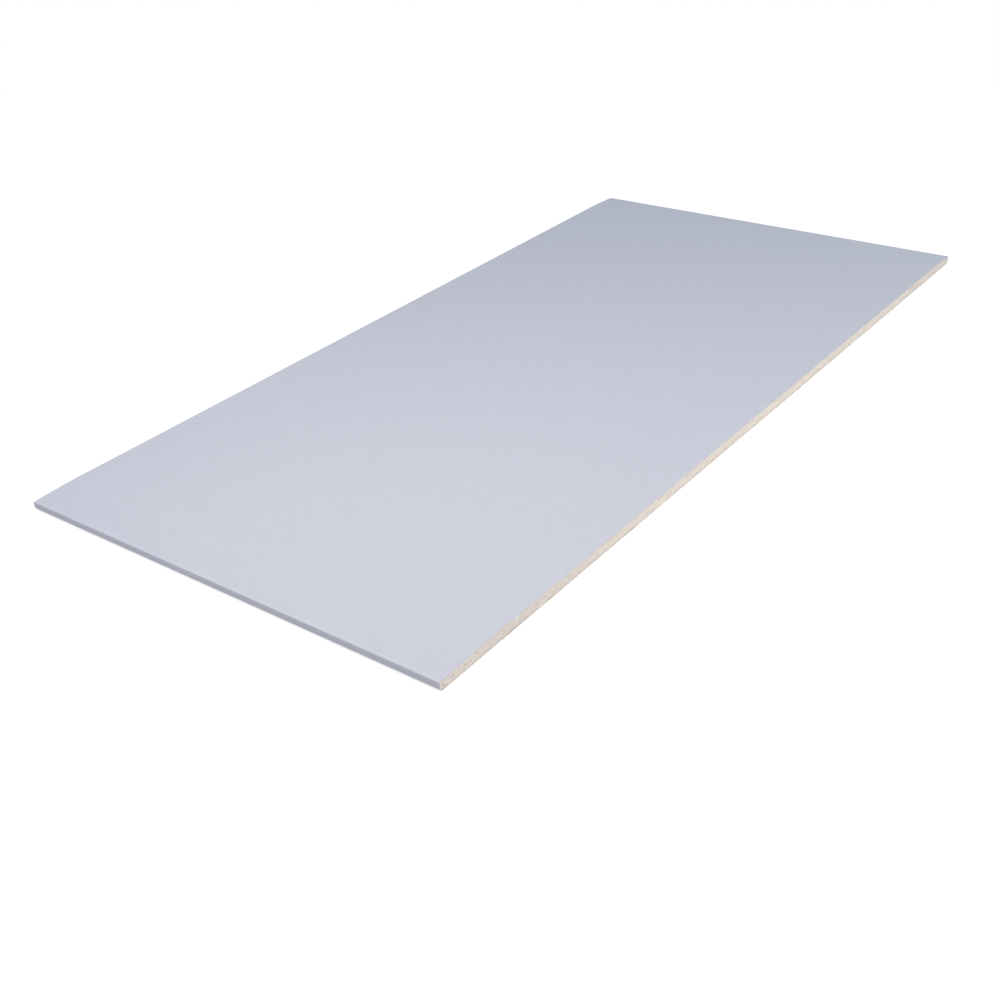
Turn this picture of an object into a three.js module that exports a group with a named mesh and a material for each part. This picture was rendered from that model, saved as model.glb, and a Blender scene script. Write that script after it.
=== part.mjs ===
// Drywall sheet: paper-faced gypsum board lying flat, face up, with two tapered bound edges and two sawn sides.
// X runs from one bound edge to the other, Y from one sawn side to the other, Z up from the back paper.
// The origin is the middle of the underside. Lengths are in millimetres.
import * as THREE from 'three';

// Driving dimensions
const boardWidth = 1200;          // X, between the two bound edges
const cutLength = 600;            // Y, between the two sawn sides
const boardThickness = 12.5;      // Z, outside of the back paper to outside of the face paper
const facePaperThickness = 0.4;
const backPaperThickness = 0.4;
const taperWidth = 50;            // the face starts to fall this far in from a bound edge
const taperDepth = 2;             // and has fallen this much where it meets the edge
const shoulderRadius = 200;       // soft bend where the fall starts
const faceArrisRadius = 1.2;      // outside of the face paper as it turns down the edge
const backArrisRadius = 4;        // outside of the face paper as it turns under the board
const turnInWidth = 22;           // face paper folded under the board, from the edge inwards
const bareStripWidth = 3.5;       // part of the turn-in that the back paper leaves uncovered
const arcDivisions = 4;           // every bend has twice as many facets

// Sizes worked out from them
const edgeX = boardWidth / 2;
const turnInX = edgeX - turnInWidth;
const taperAngle = Math.atan(taperDepth / taperWidth);
const right = 0;
const up = Math.PI / 2;
const left = Math.PI;
const down = -Math.PI / 2;

// Height of the tapered face at a distance from the middle of the board
function taperHeight(x) {
  return boardThickness - (x - (edgeX - taperWidth)) * Math.tan(taperAngle);
}

// The three bends at one edge, as the centre and outside radius of each arc
const shoulder = {
  x: edgeX - taperWidth - shoulderRadius * Math.tan(taperAngle / 2),
  z: boardThickness - shoulderRadius,
  radius: shoulderRadius,
};
const faceArris = {
  x: edgeX - faceArrisRadius,
  z: taperHeight(edgeX - faceArrisRadius) - faceArrisRadius / Math.cos(taperAngle),
  radius: faceArrisRadius,
};
const backArris = {
  x: edgeX - backArrisRadius,
  z: backPaperThickness + backArrisRadius,
  radius: backArrisRadius,
};

// Points along the face paper's skin at a depth below its outside. The line runs from the end of the turn-in
// under the left edge, round that edge, over the face, round the right edge and in to the other turn-in.
// Bends stay concentric, so two depths have matching points and the paper keeps its thickness.
function skinLine(depth) {
  const line = new THREE.Path();
  const bend = (side, arc, from, to) => {
    line.absarc(side * arc.x, arc.z, arc.radius - depth, from, to, true);
  };
  bend(-1, backArris, down, left);
  bend(-1, faceArris, left, up + taperAngle);
  bend(-1, shoulder, up + taperAngle, up);
  bend(1, shoulder, up, up - taperAngle);
  bend(1, faceArris, up - taperAngle, right);
  bend(1, backArris, right, down);
  const turnInEnd = (side) => new THREE.Vector2(side * turnInX, backPaperThickness + depth);
  return [turnInEnd(-1), ...line.getPoints(arcDivisions), turnInEnd(1)];
}

// A section drawn in X and Z becomes a piece that runs the whole way between the sawn sides
function runBetweenCuts(outline) {
  const section = new THREE.Shape(outline);
  const geometry = new THREE.ExtrudeGeometry(section, { depth: cutLength, bevelEnabled: false });
  geometry.rotateX(Math.PI / 2);
  geometry.translate(0, cutLength / 2, 0);
  return geometry;
}

function piece(name, outline, look) {
  const mesh = new THREE.Mesh(runBetweenCuts(outline), new THREE.MeshStandardMaterial(look));
  mesh.name = name;
  return mesh;
}

// Set gypsum. It fills the folded face paper and is pressed in by the paper's thickness over each turn-in,
// so the back of the board is level.
function gypsumCore() {
  const outline = [
    ...skinLine(facePaperThickness),
    new THREE.Vector2(turnInX, backPaperThickness),
    new THREE.Vector2(-turnInX, backPaperThickness),
  ];
  return piece('gypsum_core', outline, { color: '#e4dbcf', roughness: 0.95, metalness: 0 });
}

// One sheet of paper over the face, down both bound edges and turned in under the board
function facePaper() {
  const outline = [...skinLine(0), ...skinLine(facePaperThickness).reverse()];
  return piece('face_paper', outline, { color: '#d1d3de', roughness: 0.85, metalness: 0 });
}

// Flat liner under the core, glued over the turn-ins and stopping short of the bound edges
function backPaper() {
  const reach = edgeX - bareStripWidth;
  const outline = [
    new THREE.Vector2(-reach, 0),
    new THREE.Vector2(reach, 0),
    new THREE.Vector2(reach, backPaperThickness),
    new THREE.Vector2(-reach, backPaperThickness),
  ];
  return piece('back_paper', outline, { color: '#c4b098', roughness: 0.9, metalness: 0 });
}

const sheet = new THREE.Group();
sheet.add(gypsumCore(), facePaper(), backPaper());

export default sheet;
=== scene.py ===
import itertools

import bpy
import numpy as np
from mathutils import Matrix, Vector


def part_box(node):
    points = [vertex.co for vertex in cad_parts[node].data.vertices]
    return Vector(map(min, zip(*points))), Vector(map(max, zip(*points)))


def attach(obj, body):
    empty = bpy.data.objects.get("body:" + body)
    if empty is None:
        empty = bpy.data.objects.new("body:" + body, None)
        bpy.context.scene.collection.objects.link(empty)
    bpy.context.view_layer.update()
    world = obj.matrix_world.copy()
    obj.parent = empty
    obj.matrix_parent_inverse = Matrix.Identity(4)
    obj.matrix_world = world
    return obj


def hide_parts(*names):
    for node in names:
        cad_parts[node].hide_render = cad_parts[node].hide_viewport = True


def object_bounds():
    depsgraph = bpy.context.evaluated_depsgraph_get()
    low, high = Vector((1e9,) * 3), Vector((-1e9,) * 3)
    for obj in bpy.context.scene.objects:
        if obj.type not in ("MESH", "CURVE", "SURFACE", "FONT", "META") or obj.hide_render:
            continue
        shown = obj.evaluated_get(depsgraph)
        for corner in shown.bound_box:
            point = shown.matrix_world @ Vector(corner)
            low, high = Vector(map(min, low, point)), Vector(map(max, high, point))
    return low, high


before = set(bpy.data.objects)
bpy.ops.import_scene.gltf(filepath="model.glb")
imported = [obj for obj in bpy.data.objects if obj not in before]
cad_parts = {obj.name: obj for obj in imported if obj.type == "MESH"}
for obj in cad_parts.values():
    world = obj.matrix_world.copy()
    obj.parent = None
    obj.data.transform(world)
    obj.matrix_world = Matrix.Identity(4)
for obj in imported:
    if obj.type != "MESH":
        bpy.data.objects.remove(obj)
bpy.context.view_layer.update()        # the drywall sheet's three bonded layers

# Sizes ------------------------------------------------------------------------------------------------

MM = 0.001
sheet_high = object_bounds()[1]
core_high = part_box("gypsum_core")[1]
back_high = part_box("back_paper")[1]

EDGE = sheet_high.x                         # the bound edges are this far from the middle
CUT = sheet_high.y                          # and the sawn sides this far
THICKNESS = sheet_high.z
FACE_PAPER = THICKNESS - core_high.z
BACK_PAPER = back_high.z
BACK_REACH = back_high.x                    # the back paper stops here, short of the bound edge

# The section of a bound edge
TAPER_WIDTH = 50 * MM                       # the face starts to fall this far in from the edge
TAPER_DEPTH = 2 * MM
TAPER_ANGLE = np.arctan(TAPER_DEPTH / TAPER_WIDTH)
SHOULDER_RADIUS = 200 * MM
FACE_ARRIS_RADIUS = 1.2 * MM
BACK_ARRIS_RADIUS = 4 * MM
TURN_IN = 22 * MM                           # face paper folded under the board

# The mesh
COLUMN_WIDTH = 0.7 * MM                     # spacing along the sawn sides
CORE_ROWS = 21                              # over the thickness of the sawn gypsum
ARC_POINTS = 25                             # on a bend's own arc, before its columns are spread evenly
BEND_COLUMNS = 16                           # round each bend of a bound edge
FLAT_COLUMNS = 8                            # down the flat between the two bends
TURN_IN_COLUMNS = 14                        # along the turn-in
# Columns over the skived strip of the back paper, as shares of its width from the slit edge
SKIVE_COLUMNS = np.array([1, 0.75, 0.5, 0.25, 0.08, 0])
# Distances from a sawn side at which a layer's outline is repeated
PAPER_STATIONS = np.array([0.3, 0.8, 1.6, 3, 6, 12, 25, 50, 100, 170, 240]) * MM
CORE_STATIONS = np.array([0.8, 3]) * MM
LEAST_STEP = 0.05 * MM                      # the outlines stay this far apart beside a torn edge

# The papers' own marks
FACE_WAVE = 0.03 * MM                       # long hollows left by the forming belt
FACE_WAVE_SIZE = (28 * MM, 260 * MM)        # across the board and along it
FACE_WAVE_SEED = 31
SKIVE_WIDTH = 0.9 * MM                      # the back paper thins to its slit edge over this
SKIVE_DEPTH = 0.22 * MM
BACK_RIDGE = 0.06 * MM                      # the turned-in paper stands proud under the back paper
BACK_RIDGE_RAMP = 4 * MM
SHOULDER_HIGHLIGHT = (48 * MM, 7 * MM)            # painted highlight lines where the paper bends: distance from the bound edge, and half width
ARRIS_HIGHLIGHT = (2 * MM, 4 * MM)

# Marks of the knife on the papers
CUT_DROOP = 0.14 * MM                       # it presses the paper's edge down by this
DROOP_WIDTH = 1.6 * MM
RAGGED = 0.26 * MM                          # the cut paper stands back by up to this
RAGGED_BUMP = 2.2 * MM
RAGGED_MIDDLE = 0.45                        # share of it that the paper stands back on average
NICK_DEPTH = 0.9 * MM                       # small bites out of the paper's cut edge
NICK_SPACING = 2.6 * MM
NICK_FROM = 0.78                            # they are cut where their noise, of -1 to 1, is over this
CUT_LEAN = 0.08 * MM                        # one side of the cut paper stands back more, by up to this
LEAN_SPACING = 1.4 * MM
BRUISE_DEPTH = 0.2 * MM                     # corners are knocked back by this
BRUISE_REACH = 1.6 * MM

# Marks of the saw on the gypsum
SAW_WANDER = 0.12 * MM
SAW_WANDER_SIZE = (45 * MM, 9 * MM)         # along the cut and over the thickness
GRAIN_DEPTH = 0.07 * MM
GRAIN_BUMP = 2.4 * MM
CRUMB_DEPTH = 0.45 * MM                     # gypsum lost under the paper at the cut
CRUMB_REACH = 0.7 * MM
CRUMB_SIZE = (5 * MM, 30 * MM)              # along the cut and over the thickness
CRUMB_COVER = 0.25                          # 0 leaves half of the cut whole, 1 none of it
PITS_PER_SIDE = 420
PIT_RADII = (0.6 * MM, 1.3 * MM)
PIT_RARITY = 2.5                            # the higher, the fewer of the pits are large
PIT_SHIFT = 0.4 * MM                        # their middles lie up to this far off the mesh's points
PIT_SINK = 0.85                             # depth over radius


# Noise ------------------------------------------------------------------------------------------------

NOISE_REPEAT = 512                          # a noise repeats after this many whole numbers


def smoothstep(share):
    """Share from 0 to 1, eased at both ends: three times its square less twice its cube."""
    return share * share * (3 - 2 * share)


def noise(seed, *axes):
    """Smooth noise from -1 to 1. Random values sit at whole numbers of the axes, and are blended by the
    smoothstep of the distance between them."""
    table = np.random.default_rng(seed).uniform(-1, 1, (NOISE_REPEAT,) * len(axes))
    total = 0
    for corner in itertools.product((0, 1), repeat=len(axes)):
        weight = 1
        index = []
        for axis, side in zip(axes, corner):
            whole = np.floor(axis)
            share = smoothstep(axis - whole)
            weight = weight * (share if side else 1 - share)
            index.append((whole.astype(int) + side) % NOISE_REPEAT)
        total = total + weight * table[tuple(index)]
    return total


def layered_noise(seed, bump, *axes):
    """Three noises added, each with bumps half as long and half as high as the one before."""
    return sum(noise(seed + k, *(axis * 2 ** k / bump for axis in axes)) / 2 ** k for k in range(3))


def from_0_to_1(value, middle=0.5):
    """A noise brought from -1..1 to 0..1: halved, raised to its middle, and clipped."""
    return np.clip(middle + 0.5 * value, 0, 1)


# Sections ---------------------------------------------------------------------------------------------

def evenly(points, count):
    """The same line with `count` points at even steps of its length."""
    length = np.concatenate([[0], np.cumsum(np.linalg.norm(np.diff(points, axis=0), axis=1))])
    steps = np.linspace(0, length[-1], count)
    return np.stack([np.interp(steps, length, points[:, k]) for k in (0, 1)], -1)


def bend(centre, radius, start, end):
    """Arc round a centre in X and Z. Angles run from straight up, over towards the bound edge, and down."""
    angle = np.linspace(start, end, ARC_POINTS)
    return np.stack([centre[0] + radius * np.sin(angle), centre[1] + radius * np.cos(angle)], -1)


def taper_height(x):
    """Height of the tapered face: a straight fall that starts the taper's width in from the bound edge."""
    return THICKNESS - (x - (EDGE - TAPER_WIDTH)) * np.tan(TAPER_ANGLE)


# Centres of the three bends, in X and Z
SHOULDER = (EDGE - TAPER_WIDTH - SHOULDER_RADIUS * np.tan(TAPER_ANGLE / 2), THICKNESS - SHOULDER_RADIUS)
FACE_ARRIS_X = EDGE - FACE_ARRIS_RADIUS
FACE_ARRIS = (FACE_ARRIS_X, taper_height(FACE_ARRIS_X) - FACE_ARRIS_RADIUS / np.cos(TAPER_ANGLE))
BACK_ARRIS = (EDGE - BACK_ARRIS_RADIUS, BACK_PAPER + BACK_ARRIS_RADIUS)
NOSE_START = EDGE - 6 * MM                  # the mesh follows the rounded edge from here out


def face_line(depth, x_from, x_to):
    """Top of the section, `depth` below the paper's outside, between two distances from the middle: flat,
    then the shoulder's arc, then the straight taper. Column spacing is even in X."""
    x = np.linspace(x_from, x_to, int(np.ceil((x_to - x_from) / COLUMN_WIDTH)) + 1)
    radius = SHOULDER_RADIUS - depth
    turn = np.clip((x - SHOULDER[0]) / radius, 0, np.sin(TAPER_ANGLE))
    round_part = SHOULDER[1] + radius * np.sqrt(1 - turn ** 2)
    past = np.clip(x - SHOULDER[0] - radius * np.sin(TAPER_ANGLE), 0, None)
    return np.stack([x, round_part - past * np.tan(TAPER_ANGLE)], -1)


def nose_top(depth):
    """From the taper over the face arris to the top of the flat edge."""
    start = face_line(depth, NOSE_START, NOSE_START + COLUMN_WIDTH)[:1]
    return np.concatenate([start, bend(FACE_ARRIS, FACE_ARRIS_RADIUS - depth, TAPER_ANGLE, np.pi / 2)])


def nose_bottom(depth):
    """From the bottom of the flat edge round the back arris to the flat of the turn-in."""
    return bend(BACK_ARRIS, BACK_ARRIS_RADIUS - depth, np.pi / 2, np.pi)


def both_sides(half):
    """A half section, listed from the middle out, with its mirror image put before it. The middle column is
    shared, so it isn't repeated."""
    mirrored = half[:0:-1].copy()
    mirrored[..., 0] *= -1
    return np.concatenate([mirrored, half])


def face_paper_section():
    """Columns of two points, inner and outer, along the paper from one turn-in's end over the face to the
    other's. Each depth is the same line: face, face arris, flat edge, back arris and turn-in."""
    lines = []
    for depth in (FACE_PAPER, 0):
        over, under = nose_top(depth), nose_bottom(depth)
        end = np.array([[EDGE - TURN_IN, BACK_PAPER + depth]])
        lines.append(np.concatenate([
            face_line(depth, 0, NOSE_START)[:-1],
            evenly(over, BEND_COLUMNS),
            evenly(np.concatenate([over[-1:], under[:1]]), FLAT_COLUMNS)[1:-1],
            evenly(under, BEND_COLUMNS),
            evenly(np.concatenate([under[-1:], end]), TURN_IN_COLUMNS)[1:],
        ]))
    return both_sides(np.stack(lines, 1))


def core_section():
    """Columns of points from the back of the core up to its face. Each column is a straight line between a
    point of the bottom outline and one of the top outline, and the last stands on the flat of the edge."""
    face = face_line(FACE_PAPER, 0, NOSE_START)[:-1]
    top = np.concatenate([face, evenly(nose_top(FACE_PAPER), BEND_COLUMNS)])
    flat = face.copy()
    flat[:, 1] = BACK_PAPER + FACE_PAPER * (flat[:, 0] > EDGE - TURN_IN)
    under = np.concatenate([[[NOSE_START, BACK_PAPER + FACE_PAPER]], nose_bottom(FACE_PAPER)[::-1]])
    bottom = np.concatenate([flat, evenly(under, BEND_COLUMNS)])
    share = np.linspace(0, 1, CORE_ROWS)[None, :, None]
    return both_sides(bottom[:, None] * (1 - share) + top[:, None] * share)


def back_paper_section():
    """Columns of two points, bottom and top, across the flat liner. The slit edge thins by the square of
    the distance into the skived strip. Between the turn-ins the bottom lies higher by the ridge, and gets
    there along a smoothstep."""
    strip = BACK_REACH - SKIVE_WIDTH * SKIVE_COLUMNS
    x = np.concatenate([np.linspace(0, strip[0], int(strip[0] / COLUMN_WIDTH))[:-1], strip])
    into = np.clip((x - strip[0]) / SKIVE_WIDTH, 0, 1)
    inside = np.clip((EDGE - TURN_IN - x) / BACK_RIDGE_RAMP, 0, 1)
    bottom = np.stack([x, SKIVE_DEPTH * into ** 2 + BACK_RIDGE * smoothstep(inside)], -1)
    top = np.stack([x, np.full_like(x, BACK_PAPER)], -1)
    return both_sides(np.stack([bottom, top], 1))


# Cut sides --------------------------------------------------------------------------------------------

def along_line(section):
    """Distance of each column along the section, measured on its first row."""
    step = np.linalg.norm(np.diff(section[:, 0], axis=0), axis=1)
    return np.concatenate([[0], np.cumsum(step)])


def bruise(x):
    """How far a corner is knocked back. It fades by the exponential of the distance from the bound edge."""
    return BRUISE_DEPTH * np.exp((np.abs(x) - EDGE) / BRUISE_REACH)


def torn_back(section, seed):
    """How far the cut paper stands back from the cut plane at each column: the bruised corners, a fine
    ragged line, and nicks where a noise passes a threshold. A last noise puts the first row further back
    than the second."""
    along = along_line(section)
    ragged = RAGGED * from_0_to_1(layered_noise(seed, RAGGED_BUMP, along), RAGGED_MIDDLE)
    over = np.clip(noise(seed + 10, along / NICK_SPACING) - NICK_FROM, 0, None)
    nicks = NICK_DEPTH * over / (1 - NICK_FROM)
    lean = CUT_LEAN * from_0_to_1(noise(seed + 20, along / LEAN_SPACING))
    back = bruise(section[:, 1, 0]) + ragged + nicks
    return np.stack([back + lean, back], 1)


def pits(section, seed):
    """Air bubbles that the saw opened, as half balls in the cut plane. At a distance d from a pit's centre
    the depth is the root of r squared less d squared, times the sink. Where pits meet, the deeper one
    shows. The radius r is the smallest one, times a random power of the largest over the smallest."""
    rng = np.random.default_rng(seed)
    columns, rows = section.shape[:2]
    smallest, largest = PIT_RADII
    reach = int(np.ceil(largest / COLUMN_WIDTH)) + 1
    column = rng.integers(reach, columns - reach, PITS_PER_SIDE)
    row = rng.integers(1, rows - 1, PITS_PER_SIDE)
    centre = section[column, row] + rng.uniform(-PIT_SHIFT, PIT_SHIFT, (PITS_PER_SIDE, 2))
    radius = smallest * (largest / smallest) ** (rng.random(PITS_PER_SIDE) ** PIT_RARITY)
    near = column[:, None] + np.arange(-reach, reach + 1)
    apart = section[near] - centre[:, None, None]
    depth = np.sqrt(np.clip(radius[:, None, None] ** 2 - (apart ** 2).sum(-1), 0, None))
    deepest = np.zeros((columns, rows))
    np.maximum.at(deepest, near, PIT_SINK * depth)
    return deepest


def sawn_back(section, seed):
    """How far the sawn gypsum stands back from the cut plane: bruised corners, slow wander of the saw, fine
    grain, pits, and crumbs lost beside the papers, which fall off by the exponential of the distance to the
    nearer paper."""
    x, z = section[..., 0], section[..., 1]
    wander = SAW_WANDER * from_0_to_1(noise(seed, x / SAW_WANDER_SIZE[0], z / SAW_WANDER_SIZE[1]))
    grain = GRAIN_DEPTH * from_0_to_1(layered_noise(seed + 1, GRAIN_BUMP, x, z))
    to_paper = np.minimum(z - section[:, :1, 1], section[:, -1:, 1] - z)
    patch = np.clip(noise(seed + 5, x / CRUMB_SIZE[0], z / CRUMB_SIZE[1]) + CRUMB_COVER, 0, 1)
    crumbs = CRUMB_DEPTH * patch * np.exp(-to_paper / CRUMB_REACH)
    return bruise(x) + np.maximum(wander + grain + crumbs, pits(section, seed + 9))


# Meshes -----------------------------------------------------------------------------------------------

def rim(columns, rows):
    """Places of a section's outline, in order: along the first row, up the last column, back along the last
    row and down the first column. Each place is a column and a row."""
    c, r = np.arange(columns), np.arange(rows)
    first, last = np.zeros(columns, int), np.full(columns, rows - 1)
    end, start = np.full(rows, columns - 1), np.zeros(rows, int)
    column = np.concatenate([c[:-1], end[:-1], c[:0:-1], start[:0:-1]])
    row = np.concatenate([first[:-1], r[:-1], last[:0:-1], r[:0:-1]])
    return column, row


def run_between_cuts(section, front_back, rear_back, stations):
    """Closed surface of a section carried from one sawn side to the other. The ends are the whole section
    as a grid, each point moved back from its cut plane. Between them the outline is repeated at stations.
    Close to a cut it keeps some of the cut's raggedness, so that one outline doesn't cross the next.
    Returns points, quads and which quads belong to the cut ends."""
    columns, rows = section.shape[:2]
    column, row = rim(columns, rows)
    count = columns * rows

    def cap(y):
        return np.stack([section[..., 0], y, section[..., 1]], -1).reshape(-1, 3)

    def ring(side, number, back):
        least = back[column, row] + (number + 1) * LEAST_STEP
        y = side * (CUT - np.maximum(stations[number], least))
        return np.stack([section[column, row, 0], y, section[column, row, 1]], -1)

    numbers = range(len(stations))
    rings = [ring(-1, number, front_back) for number in numbers]
    rings += [ring(1, number, rear_back) for number in reversed(numbers)]
    points = np.concatenate([cap(-CUT + front_back), cap(CUT - rear_back), *rings])

    cells = np.arange(count).reshape(columns, rows)
    a, b, c, d = cells[:-1, :-1], cells[1:, :-1], cells[1:, 1:], cells[:-1, 1:]
    front_quads = np.stack([a, b, c, d], -1).reshape(-1, 4)
    rear_quads = front_quads[:, ::-1] + count
    loops = [cells[column, row]]
    loops += [2 * count + k * len(column) + np.arange(len(column)) for k in range(len(rings))]
    loops.append(cells[column, row] + count)
    side_quads = []
    for near, far in zip(loops[:-1], loops[1:]):
        side_quads.append(np.stack([near, far, np.roll(far, -1), np.roll(near, -1)], -1))
    quads = np.concatenate([front_quads, rear_quads, *side_quads])
    is_end = np.arange(len(quads)) < 2 * len(front_quads)
    return points, quads, is_end


def press_down(points):
    """Near a sawn side the cut pressed the board down: by the droop, times the square of the share of its
    width that is left, times the square of the point's height over the board's thickness."""
    from_cut = CUT - np.abs(points[:, 1])
    left = np.clip(1 - from_cut / DROOP_WIDTH, 0, 1)
    points[:, 2] -= CUT_DROOP * left ** 2 * (points[:, 2] / THICKNESS) ** 2


def belt_waves(points):
    """Shallow hollows in the outside of the face paper: a noise stretched along Y, the way the board ran
    through the line."""
    x, y, z = points.T
    hollow = from_0_to_1(noise(FACE_WAVE_SEED, x / FACE_WAVE_SIZE[0], y / FACE_WAVE_SIZE[1]))
    on_face = z > taper_height(np.abs(x)) - FACE_PAPER / 2
    points[:, 2] -= FACE_WAVE * hollow * on_face * (np.abs(x) < FACE_ARRIS_X)


def put_in_scene(item):
    """The item goes into the scene's own collection."""
    bpy.context.scene.collection.objects.link(item)


def make_piece(node, points, quads, smooth, materials, is_end):
    """A mesh object that stands for a node, rides with it, and takes its finish from a slot. The last
    material is for the cut ends."""
    mesh = bpy.data.meshes.new(node + "_finished")
    mesh.from_pydata(points, [], quads)
    for material in materials:
        mesh.materials.append(material)
    mesh.polygons.foreach_set("material_index", is_end * (len(materials) - 1))
    mesh.polygons.foreach_set("use_smooth", smooth)
    mesh.update()
    piece = bpy.data.objects.new(node + "_finished", mesh)
    put_in_scene(piece)
    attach(piece, "root")
    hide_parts(node)


# Materials --------------------------------------------------------------------------------------------

def colour(hex_code, alpha=1.0):
    """An sRGB hex value as the linear colour that the shaders take."""
    parts = np.array([int(hex_code[k:k + 2], 16) for k in (1, 3, 5)]) / 255
    linear = np.where(parts <= 0.04045, parts / 12.92, ((parts + 0.055) / 1.055) ** 2.4)
    return (*linear, alpha)


def add(tree, kind, inputs=None, **settings):
    """Adds a node. The settings are its own properties. Each input names a socket and gives it a value,
    another node's socket, or another node, whose first socket is taken."""
    node = tree.nodes.new(kind)
    for name, value in settings.items():
        setattr(node, name, value)
    for socket, value in (inputs or {}).items():
        if isinstance(value, bpy.types.Node):
            value = value.outputs[0]
        if isinstance(value, bpy.types.NodeSocket):
            tree.links.new(value, node.inputs[socket])
        else:
            node.inputs[socket].default_value = value
    return node


def new_tree(name):
    """An empty material, and the tree that its nodes go into."""
    material = bpy.data.materials.new(name)
    material.use_nodes = True
    material.node_tree.nodes.clear()
    return material, material.node_tree


def per_mm(x, y, z):
    """Scale that gives a noise bumps of these lengths, in millimetres, along X, Y and Z."""
    return (1000 / x, 1000 / y, 1000 / z)


def toned(tree, lowest, patterns):
    """Brightness that starts at its lowest and rises by each pattern, of 0 to 1, times its weight. A weight
    below 0 takes away. The lowest is chosen so that the average comes to about 1."""
    tone = lowest
    for pattern, weight in patterns:
        tone = add(tree, "ShaderNodeMath", {0: pattern, 1: weight, 2: tone}, operation="MULTIPLY_ADD")
    return tone


def painted_highlight_line(tree, place, line):
    """Mask for a painted highlight: 1 along a line beside each bound edge, given as its distance from the
    edge and its half width. It falls to 0 at the half width by the smoothstep."""
    inset, half_width = line
    x = add(tree, "ShaderNodeSeparateXYZ", {0: place}).outputs["X"]
    side = add(tree, "ShaderNodeMath", {0: x}, operation="ABSOLUTE")
    away = add(tree, "ShaderNodeMath", {0: side, 1: EDGE - inset}, operation="SUBTRACT")
    away = add(tree, "ShaderNodeMath", {0: away}, operation="ABSOLUTE")
    return add(tree, "ShaderNodeMapRange", {
        "Value": away, "From Max": half_width, "To Min": 1.0, "To Max": 0.0},
        interpolation_type="SMOOTHSTEP")


def face_liner():
    """Paper liner: recycled fibre, pressed smooth between rollers and tinted a cool pale grey. To the eye
    it is an even matt sheet with a faint cloudiness, hair-fine fibres that mostly run the length of the
    board, and a few scuffs from handling, so faint that they hardly show. Paler lines where it bends, along
    the taper's shoulder and the face arris, are painted highlights."""
    material, tree = new_tree("face_liner_calendered")
    place = add(tree, "ShaderNodeTexCoord").outputs["Object"]
    # Clouds in the pulp, 14 to 22 mm across
    scaled = add(tree, "ShaderNodeVectorMath", {0: place, 1: per_mm(14, 22, 14)}, operation="MULTIPLY")
    clouds = add(tree, "ShaderNodeTexNoise", {
        "Vector": scaled, "Scale": 1.0, "Detail": 4.0, "Roughness": 0.6})
    # Fibres are 0.03 mm thick; they are drawn 0.35 mm thick so that they show
    scaled = add(tree, "ShaderNodeVectorMath", {0: place, 1: per_mm(0.35, 5, 0.35)}, operation="MULTIPLY")
    fibres = add(tree, "ShaderNodeTexNoise", {"Vector": scaled, "Scale": 1.0, "Detail": 2.0})
    # The paper machine leaves streaks 9 mm wide, along the way that the board ran
    scaled = add(tree, "ShaderNodeVectorMath", {0: place, 1: per_mm(9, 400, 9)}, operation="MULTIPLY")
    streaks = add(tree, "ShaderNodeTexNoise", {"Vector": scaled, "Scale": 1.0, "Detail": 2.0})
    # Painted highlight along the taper's shoulder, stronger in some places than in others
    scaled = add(tree, "ShaderNodeVectorMath", {0: place, 1: per_mm(300, 110, 300)}, operation="MULTIPLY")
    shoulder_highlight_patches = add(tree, "ShaderNodeTexNoise", {"Vector": scaled, "Scale": 1.0, "Detail": 2.0})
    shoulder = add(tree, "ShaderNodeMath", {
        0: painted_highlight_line(tree, place, SHOULDER_HIGHLIGHT), 1: shoulder_highlight_patches}, operation="MULTIPLY")
    # Painted highlight along the face arris
    arris = painted_highlight_line(tree, place, ARRIS_HIGHLIGHT)
    # A scuff is up to 60 mm long and 5 mm wide, and lies slantwise on the board
    slanted = add(tree, "ShaderNodeMapping", {
        "Vector": place, "Rotation": (0, 0, np.radians(14))}, vector_type="TEXTURE")
    scaled = add(tree, "ShaderNodeVectorMath", {0: slanted, 1: per_mm(60, 5, 60)}, operation="MULTIPLY")
    scuffs = add(tree, "ShaderNodeTexNoise", {
        "Vector": scaled, "Scale": 1.0, "Detail": 1.0, "Distortion": 0.5})
    scuffs = add(tree, "ShaderNodeMapRange", {"Value": scuffs, "From Min": 0.71, "From Max": 0.80})
    # The shoulder and arris lines raise the tone as painted highlights
    tone = toned(tree, 0.942, [
        (clouds, 0.080), (fibres, 0.024), (streaks, 0.012),
        (scuffs, -0.030), (shoulder, 0.030), (arris, 0.040)])
    paint = add(tree, "ShaderNodeVectorMath", {0: colour("#ced2de")[:3], "Scale": tone}, operation="SCALE")
    tooth = add(tree, "ShaderNodeBump", {"Height": fibres, "Distance": 0.02 * MM, "Strength": 1.0})
    shine = add(tree, "ShaderNodeMapRange", {"Value": clouds, "To Min": 0.66, "To Max": 0.78})
    shader = add(tree, "ShaderNodeBsdfPrincipled", {
        "Base Color": paint, "Roughness": shine, "IOR": 1.5, "Specular IOR Level": 0.35, "Normal": tooth})
    add(tree, "ShaderNodeOutputMaterial", {"Surface": shader})
    return material


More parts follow.
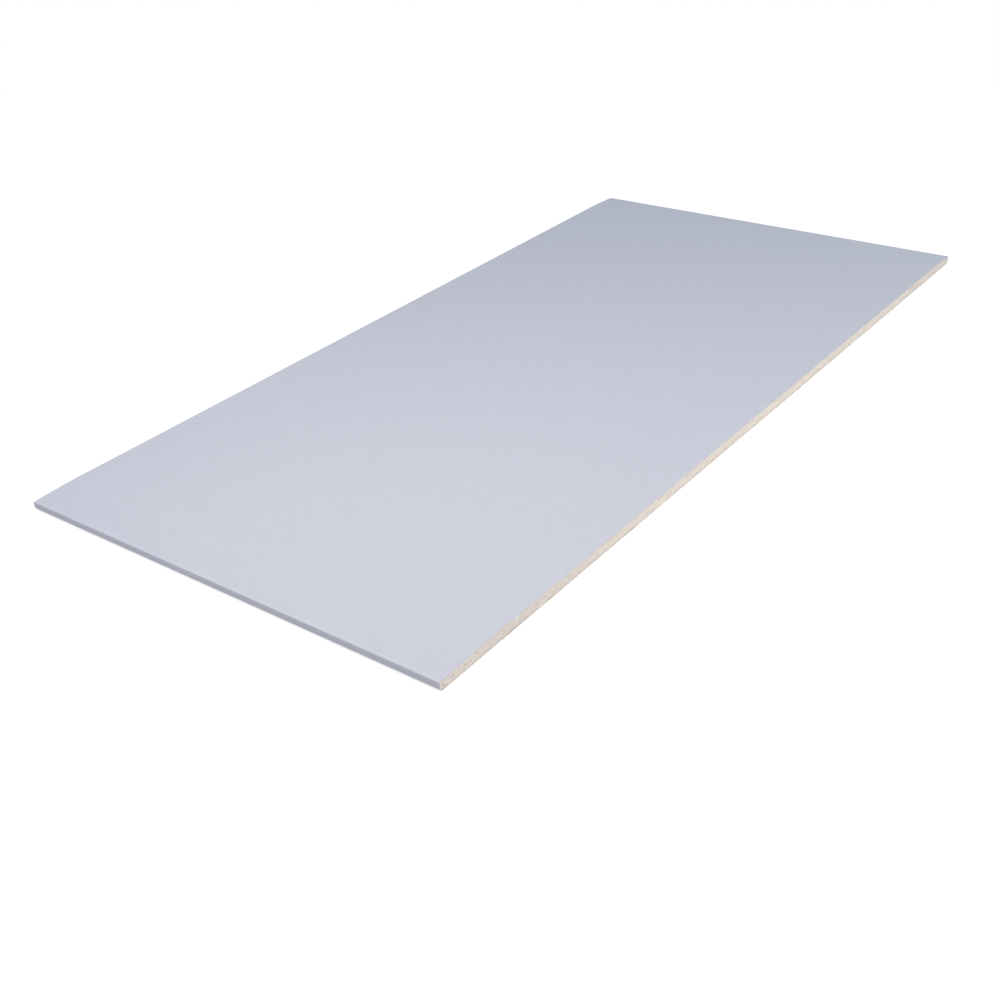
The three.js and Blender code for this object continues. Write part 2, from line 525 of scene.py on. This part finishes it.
def cut_plies(name, hex_code):
    """Paper liner where the knife went through it. To the eye it is a line of matt inner plies, a little
    uneven where fibres have torn."""
    material, tree = new_tree(name)
    place = add(tree, "ShaderNodeTexCoord").outputs["Object"]
    # A ply is 0.12 mm thick, and its torn fibres hang together over 1.2 mm
    scaled = add(tree, "ShaderNodeVectorMath", {0: place, 1: per_mm(1.2, 1.2, 0.12)}, operation="MULTIPLY")
    plies = add(tree, "ShaderNodeTexNoise", {"Vector": scaled, "Scale": 1.0, "Detail": 3.0})
    tone = add(tree, "ShaderNodeMapRange", {
        "Value": plies, "From Min": 0.3, "From Max": 0.7, "To Min": 0.88, "To Max": 1.08})
    paint = add(tree, "ShaderNodeVectorMath", {0: colour(hex_code)[:3], "Scale": tone}, operation="SCALE")
    shader = add(tree, "ShaderNodeBsdfPrincipled", {
        "Base Color": paint, "Roughness": 0.95, "IOR": 1.5, "Specular IOR Level": 0.2})
    add(tree, "ShaderNodeOutputMaterial", {"Surface": shader})
    return material


BUBBLE_RIM = (-0.2, 0.03)                   # from inside the radius to outside it, in cells


def opened_bubbles(tree, place, cell, largest, missing):
    """Bubbles that the saw opened, one at most to each cell: 0 inside and 1 outside, with a rounded rim.
    Radii are given in cells. A random value of the cell picks one from the missing part below 0 up to the
    largest, so the cells that pick one below 0 have no bubble."""
    cells = add(tree, "ShaderNodeTexVoronoi", {"Vector": place, "Scale": 1 / cell, "Randomness": 1.0})
    chance = add(tree, "ShaderNodeSeparateXYZ", {0: cells.outputs["Color"]}).outputs["Z"]
    radius = add(tree, "ShaderNodeMath", {
        0: chance, 1: largest + missing, 2: -missing}, operation="MULTIPLY_ADD")
    outside = add(tree, "ShaderNodeMath", {
        0: cells.outputs["Distance"], 1: radius}, operation="SUBTRACT")
    return add(tree, "ShaderNodeMapRange", {
        "Value": outside, "From Min": BUBBLE_RIM[0], "From Max": BUBBLE_RIM[1]},
        interpolation_type="SMOOTHERSTEP")


def sawn_gypsum():
    """Set gypsum: foamed plaster, sawn across. To the eye it is chalky, warm white and dead matt, with a
    broken grain and many small bubbles cut open, and darker where a big bubble or a lost crumb keeps the
    light out."""
    material, tree = new_tree("gypsum_foamed_sawn")
    place = add(tree, "ShaderNodeTexCoord").outputs["Object"]
    # The mix differs over 22 mm along the cut, and over 7 mm of the thickness
    scaled = add(tree, "ShaderNodeVectorMath", {0: place, 1: per_mm(22, 22, 7)}, operation="MULTIPLY")
    drift = add(tree, "ShaderNodeTexNoise", {"Vector": scaled, "Scale": 1.0, "Detail": 3.0})
    # The saw leaves clumps of 4 to 6 mm
    scaled = add(tree, "ShaderNodeVectorMath", {0: place, 1: per_mm(6, 6, 4)}, operation="MULTIPLY")
    clumps = add(tree, "ShaderNodeTexNoise", {
        "Vector": scaled, "Scale": 1.0, "Detail": 3.0, "Roughness": 0.6})
    # Crystals are 0.02 mm long; they are drawn as broken grain 0.2 to 1.2 mm across
    scaled = add(tree, "ShaderNodeVectorMath", {0: place, 1: per_mm(1.2, 1.2, 0.9)}, operation="MULTIPLY")
    grain = add(tree, "ShaderNodeTexNoise", {
        "Vector": scaled, "Scale": 1.0, "Detail": 3.0, "Roughness": 0.65})
    # Bubbles are up to 0.9 mm across and about 1.7 mm apart
    bubbles = opened_bubbles(tree, place, 1.7 * MM, largest=0.26, missing=0.10)
    # Pores are 0.05 to 0.3 mm across; they are drawn up to 0.4 mm across
    pores = opened_bubbles(tree, place, 0.6 * MM, largest=0.34, missing=0.12)
    # Shade grows with the depth below the cut, and the grain breaks up its edge
    y = add(tree, "ShaderNodeSeparateXYZ", {0: place}).outputs["Y"]
    side = add(tree, "ShaderNodeMath", {0: y}, operation="ABSOLUTE")
    depth = add(tree, "ShaderNodeMath", {0: CUT, 1: side}, operation="SUBTRACT")
    depth = add(tree, "ShaderNodeMath", {0: grain, 1: -0.9 * MM, 2: depth}, operation="MULTIPLY_ADD")
    light = add(tree, "ShaderNodeMapRange", {
        "Value": depth, "From Min": -0.12 * MM, "From Max": 0.35 * MM, "To Min": 1.0, "To Max": 0.8})
    # Bubbles and pores lower the tone inside them, as painted shade in their hollows
    tone = toned(tree, 0.16, [
        (drift, 0.28), (clumps, 0.44), (grain, 0.30), (bubbles, 0.20), (pores, 0.16)])
    tone = add(tree, "ShaderNodeMath", {0: tone, 1: light}, operation="MULTIPLY")
    paint = add(tree, "ShaderNodeVectorMath", {0: colour("#ebe5de")[:3], "Scale": tone}, operation="SCALE")
    bumps = add(tree, "ShaderNodeBump", {"Height": grain, "Distance": 0.5 * MM, "Strength": 1.0})
    bumps = add(tree, "ShaderNodeBump", {
        "Height": bubbles, "Distance": 0.25 * MM, "Strength": 1.0, "Normal": bumps})
    bumps = add(tree, "ShaderNodeBump", {
        "Height": pores, "Distance": 0.1 * MM, "Strength": 1.0, "Normal": bumps})
    shader = add(tree, "ShaderNodeBsdfPrincipled", {
        "Base Color": paint, "Roughness": 0.98, "IOR": 1.52, "Specular IOR Level": 0.15, "Normal": bumps})
    add(tree, "ShaderNodeOutputMaterial", {"Surface": shader})
    return material


def kraft_liner():
    """Kraft-coloured liner: unbleached recycled fibre, pressed less than the face. To the eye it is a warm
    brown, mottled over a few millimetres, with paler and darker fibres in all directions, dark specks of
    bark and ink, and a slight tooth."""
    material, tree = new_tree("back_liner_kraft")
    place = add(tree, "ShaderNodeTexCoord").outputs["Object"]
    # The pulp differs in tone and hue over 40 to 60 mm
    scaled = add(tree, "ShaderNodeVectorMath", {0: place, 1: per_mm(40, 60, 40)}, operation="MULTIPLY")
    drift = add(tree, "ShaderNodeTexNoise", {"Vector": scaled, "Scale": 1.0, "Detail": 3.0})
    # Flocks of fibre, 5 to 7 mm across
    scaled = add(tree, "ShaderNodeVectorMath", {0: place, 1: per_mm(5, 7, 5)}, operation="MULTIPLY")
    mottle = add(tree, "ShaderNodeTexNoise", {
        "Vector": scaled, "Scale": 1.0, "Detail": 5.0, "Roughness": 0.65})
    # Fibres are 0.03 mm thick; they are drawn 0.4 mm thick so that they show
    scaled = add(tree, "ShaderNodeVectorMath", {0: place, 1: per_mm(0.4, 3.5, 0.4)}, operation="MULTIPLY")
    fibres = add(tree, "ShaderNodeTexNoise", {"Vector": scaled, "Scale": 1.0, "Detail": 2.0})
    # Specks are 0.2 to 0.6 mm across; they are drawn 1 mm across, one to each 8 mm cell
    cells = add(tree, "ShaderNodeTexVoronoi", {"Vector": place, "Scale": 1000 / 8, "Randomness": 1.0})
    specks = add(tree, "ShaderNodeMapRange", {
        "Value": cells.outputs["Distance"], "From Min": 0.04, "From Max": 0.09},
        interpolation_type="SMOOTHSTEP")
    tone = toned(tree, 0.32, [(drift, 0.16), (mottle, 0.50), (fibres, 0.20), (specks, 0.25)])
    hue = add(tree, "ShaderNodeMixRGB", {
        "Fac": drift, "Color1": colour("#d1bfa8"), "Color2": colour("#cab195")})
    paint = add(tree, "ShaderNodeVectorMath", {0: hue, "Scale": tone}, operation="SCALE")
    tooth = add(tree, "ShaderNodeBump", {"Height": mottle, "Distance": 0.08 * MM, "Strength": 1.0})
    tooth = add(tree, "ShaderNodeBump", {
        "Height": fibres, "Distance": 0.03 * MM, "Strength": 1.0, "Normal": tooth})
    shader = add(tree, "ShaderNodeBsdfPrincipled", {
        "Base Color": paint, "Roughness": 0.88, "IOR": 1.5, "Specular IOR Level": 0.3, "Normal": tooth})
    add(tree, "ShaderNodeOutputMaterial", {"Surface": shader})
    return material


# The three layers -------------------------------------------------------------------------------------

def face_paper():
    """Its section carried between the cuts, then waved by the belt and pressed down by the knife."""
    section = face_paper_section()
    front, rear = torn_back(section, seed=101), torn_back(section, seed=151)
    points, quads, is_end = run_between_cuts(section, front, rear, PAPER_STATIONS)
    belt_waves(points)
    press_down(points)
    plies = cut_plies("face_liner_cut", "#c6c1bd")
    make_piece("face_paper", points, quads, ~is_end, [face_liner(), plies], is_end)


def gypsum_core():
    """Its section carried between the cuts, then pressed down with the paper over it."""
    section = core_section()
    front, rear = sawn_back(section, seed=201), sawn_back(section, seed=251)
    points, quads, is_end = run_between_cuts(section, front, rear, CORE_STATIONS)
    press_down(points)
    make_piece("gypsum_core", points, quads, is_end, [sawn_gypsum()], is_end)


def back_paper():
    """Its section carried between the cuts. It lies on the floor, where nothing presses it down."""
    section = back_paper_section()
    front, rear = torn_back(section, seed=301), torn_back(section, seed=351)
    points, quads, is_end = run_between_cuts(section, front, rear, PAPER_STATIONS)
    # Its cut edge is drawn paler than the brown liner, as a painted highlight along the board's bottom edge
    plies = cut_plies("back_liner_cut", "#e6ddd0")
    make_piece("back_paper", points, quads, ~is_end, [kraft_liner(), plies], is_end)


# Studio -----------------------------------------------------------------------------------------------

CAMERA_PLACE = Vector((-1.2861, -0.9449, 0.7558))
CAMERA_AIM = Vector((-0.3201, -0.1560, 0.0125))
CAMERA_ROLL = np.radians(-4.0)
CAMERA_LENS = 47.91                         # mm
CAMERA_SENSOR = 36                          # mm wide

FLOOR_SIZE = 40.0
FLOOR_DROP = 0.3 * MM                       # below the board, so that the two don't share a plane
FLOOR_COLOUR = "#d0c9c8"                    # warm off-white, for the light that it sends back up
FLOOR_SEEN = (0.8, 0.8, 0.8, 1)             # what the camera sees of it, which takes the board's shadow
FLOOR_GLOW = 0.58                           # and what is added to that, so that it is white where it is lit
WHITE_FROM = 0.9                            # it passes to plain white between these two distances from
WHITE_TO = 2.2                              # the middle of the board
WHITE = (1, 1, 1, 1)
ROOM_COLOUR = "#eef5ff"                     # cool, as from a white ceiling
ROOM_LIGHT = 0.596
KEY_COLOUR = "#fff1e5"                      # a soft box over the left bound edge
KEY_PLACE = Vector((-0.55, -0.05, 0.95))
KEY_AIM = Vector((-0.35, -0.05, 0))
KEY_SIZE = (0.8, 0.8)
KEY_WATTS = 4.44
FILL_COLOUR = "#fff8ea"                     # a soft box low in front of the sawn side
FILL_PLACE = Vector((0.1, -1.6, 0.5))
FILL_AIM = Vector((0, -0.3, 0))
FILL_SIZE = (0.9, 0.6)
FILL_WATTS = 8.4


def turned_to(place, aim, roll=0.0):
    """Transform of a camera or lamp at a place, looking at its aim, with its top turned by a roll."""
    turn = (aim - place).to_track_quat("-Z", "Y").to_matrix().to_4x4()
    return Matrix.Translation(place) @ turn @ Matrix.Rotation(roll, 4, "Z")


def camera():
    """The camera at its place, looking at its aim."""
    data = bpy.data.cameras.new("camera")
    data.lens = CAMERA_LENS
    data.sensor_width = CAMERA_SENSOR
    item = bpy.data.objects.new("camera", data)
    item.matrix_world = turned_to(CAMERA_PLACE, CAMERA_AIM, CAMERA_ROLL)
    put_in_scene(item)
    bpy.context.scene.camera = item


def soft_box(name, place, aim, size, watts, hex_code):
    """A rectangular lamp that lights the board but isn't seen itself."""
    data = bpy.data.lights.new(name, "AREA")
    data.color = colour(hex_code)[:3]
    data.shape = "RECTANGLE"
    data.size, data.size_y = size
    data.energy = watts
    item = bpy.data.objects.new(name, data)
    item.matrix_world = turned_to(place, aim)
    item.visible_camera = False
    put_in_scene(item)


def seen_directly(tree):
    """1 for what the camera sees, itself or in a gloss or through glass, and 0 for light that falls on
    things."""
    path = add(tree, "ShaderNodeLightPath").outputs
    rays = {0: path["Is Camera Ray"], 1: path["Is Glossy Ray"]}
    direct = add(tree, "ShaderNodeMath", rays, operation="MAXIMUM")
    return add(tree, "ShaderNodeMath", {0: direct, 1: path["Is Transmission Ray"]}, operation="MAXIMUM")


def room():
    """Even light from all round. What the camera sees of it is plain white."""
    world = bpy.data.worlds.new("room")
    bpy.context.scene.world = world
    world.use_nodes = True
    tree = world.node_tree
    tree.nodes.clear()
    light = add(tree, "ShaderNodeBackground", {"Color": colour(ROOM_COLOUR), "Strength": ROOM_LIGHT})
    white = add(tree, "ShaderNodeBackground", {"Color": WHITE, "Strength": 1.0})
    shown = add(tree, "ShaderNodeMixShader", {0: seen_directly(tree), 1: light, 2: white})
    add(tree, "ShaderNodeOutputWorld", {"Surface": shown})


def floor():
    """Pale floor. What the camera sees of it is white where it is fully lit, keeps the board's shadow, and
    passes to plain white away from the board."""
    half = FLOOR_SIZE / 2
    mesh = bpy.data.meshes.new("floor")
    corners = [(-half, -half), (half, -half), (half, half), (-half, half)]
    mesh.from_pydata([(x, y, -FLOOR_DROP) for x, y in corners], [], [(0, 1, 2, 3)])
    material, tree = new_tree("floor_white")
    place = add(tree, "ShaderNodeTexCoord").outputs["Object"]
    distance = add(tree, "ShaderNodeVectorMath", {0: place}, operation="LENGTH").outputs["Value"]
    away = add(tree, "ShaderNodeMapRange", {
        "Value": distance, "From Min": WHITE_FROM, "From Max": WHITE_TO}, interpolation_type="SMOOTHSTEP")
    bounce = add(tree, "ShaderNodeBsdfDiffuse", {"Color": colour(FLOOR_COLOUR)})
    lit = add(tree, "ShaderNodeBsdfDiffuse", {"Color": FLOOR_SEEN})
    glow = add(tree, "ShaderNodeEmission", {"Color": WHITE, "Strength": FLOOR_GLOW})
    near = add(tree, "ShaderNodeAddShader", {0: lit, 1: glow})
    plain = add(tree, "ShaderNodeEmission", {"Color": WHITE, "Strength": 1.0})
    shown = add(tree, "ShaderNodeMixShader", {0: away, 1: near, 2: plain})
    both = add(tree, "ShaderNodeMixShader", {0: seen_directly(tree), 1: bounce, 2: shown})
    add(tree, "ShaderNodeOutputMaterial", {"Surface": both})
    mesh.materials.append(material)
    item = bpy.data.objects.new("floor", mesh)
    put_in_scene(item)


camera()
face_paper()
gypsum_core()
back_paper()
room()
floor()
soft_box("key", KEY_PLACE, KEY_AIM, KEY_SIZE, KEY_WATTS, KEY_COLOUR)
soft_box("front_fill", FILL_PLACE, FILL_AIM, FILL_SIZE, FILL_WATTS, FILL_COLOUR)
bpy.context.scene.view_settings.view_transform = "Standard"
